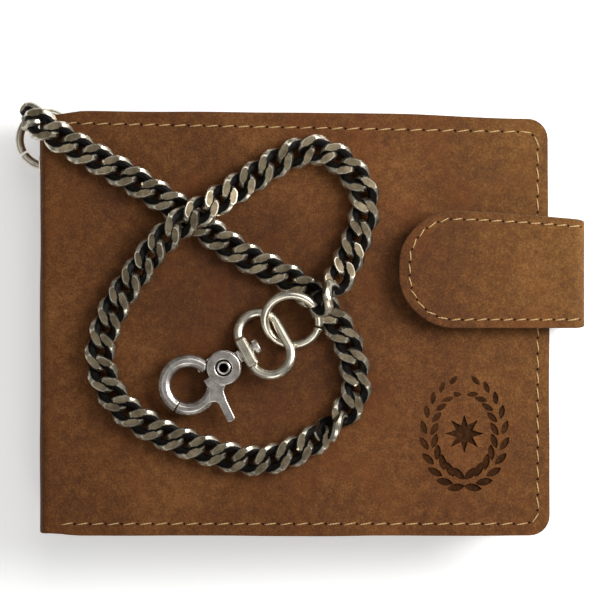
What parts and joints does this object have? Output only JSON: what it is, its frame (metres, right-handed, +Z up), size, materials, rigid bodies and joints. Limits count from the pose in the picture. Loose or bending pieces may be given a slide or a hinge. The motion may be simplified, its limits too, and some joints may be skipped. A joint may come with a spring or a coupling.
{
  "type": "chain wallet",
  "caption": "Bifold leather wallet closed by a strap, with a curb chain ringed to its spine and a swivel trigger hook.",
  "frame": {"origin": "middle of the wallet's underside, with the chain and its rings left out", "axes": "+X from the spine to the strap, +Y to the top edge where the chain is ringed, +Z up through the closed wallet"},
  "size_m": [0.1353, 0.1026, 0.0294],
  "materials": {
    "brown_leather": "matt oiled, mottled",
    "dark_leather": "matt lining leather",
    "aged_steel": "antique, black in the hollows"
  },
  "bodies": {
    "back_half": {"back_cover": "brown_leather", "back_inner_panel": "dark_leather", "spine": "brown_leather", "strap_anchor": "brown_leather", "coin_pocket": "dark_leather", "chain_eyelet": "aged_steel", "anchor_ring": "aged_steel"},
    "coin_flap": {"coin_flap": "brown_leather", "coin_snap_cap": "aged_steel"},
    "front_half": {"front_cover": "brown_leather", "front_inner_panel": "dark_leather", "card_pocket_1": "brown_leather", "card_pocket_2": "brown_leather", "card_pocket_3": "brown_leather", "closure_stud": "aged_steel", "chain": "aged_steel"},
    "strap_side": {"strap_side": "brown_leather"},
    "strap_tab": {"strap_tab": "brown_leather", "closure_socket": "aged_steel"},
    "hook_bow": {"jump_ring": "aged_steel", "swivel_bow": "aged_steel"},
    "hook_body": {"hook_body": "aged_steel", "hook_rivet": "aged_steel"},
    "hook_trigger": {"hook_trigger": "aged_steel"}
  },
  "joints": [
    {"name": "cover_fold", "type": "hinge", "parent": "back_half", "child": "front_half", "pos_m": [-0.062, 0, 0.0105], "axis": [0, -1, 0], "range_deg": [0, 120], "deforming": ["spine", "chain"]},
    {"name": "coin_flap_fold", "type": "hinge", "parent": "back_half", "child": "coin_flap", "pos_m": [0.018, 0.0327, 0.0056], "axis": [-1, 0, 0], "range_deg": [0, 84]},
    {"name": "strap_fold", "type": "hinge", "parent": "back_half", "child": "strap_side", "pos_m": [0.0633, 0.01265, 0.0027], "axis": [0, 1, 0], "range_deg": [0, 85], "deforming": ["strap_side", "strap_tab", "closure_socket"]},
    {"name": "strap_tip_fold", "type": "hinge", "parent": "strap_side", "child": "strap_tab", "pos_m": [0.0633, 0.01265, 0.0242], "axis": [0, 1, 0], "range_deg": [0, 85]},
    {"name": "hook_lift", "type": "hinge", "parent": "front_half", "child": "hook_bow", "pos_m": [0.0012, 0.0038, 0.0266], "axis": [-0.4848, 0.8746, 0], "range_deg": [0, 85]},
    {"name": "hook_swivel", "type": "hinge", "parent": "hook_bow", "child": "hook_body", "pos_m": [-0.01478, -0.00671, 0.0239], "axis": [0.8746, 0.4848, 0], "range_deg": [-6, 6]},
    {"name": "trigger_pivot", "type": "hinge", "parent": "hook_body", "child": "hook_trigger", "pos_m": [-0.02018, -0.01037, 0.0239], "axis": [0, 0, 1], "range_deg": [0, 28], "stiffness_Nm_per_rad": 0.02, "springref_deg": -17.19}
  ],
  "couplings": [
    {"joint": "strap_tip_fold", "follows": "strap_fold", "ratio": 1},
    {"joint": "coin_flap_fold", "follows": "cover_fold", "ratio": 0.7}
  ]
}
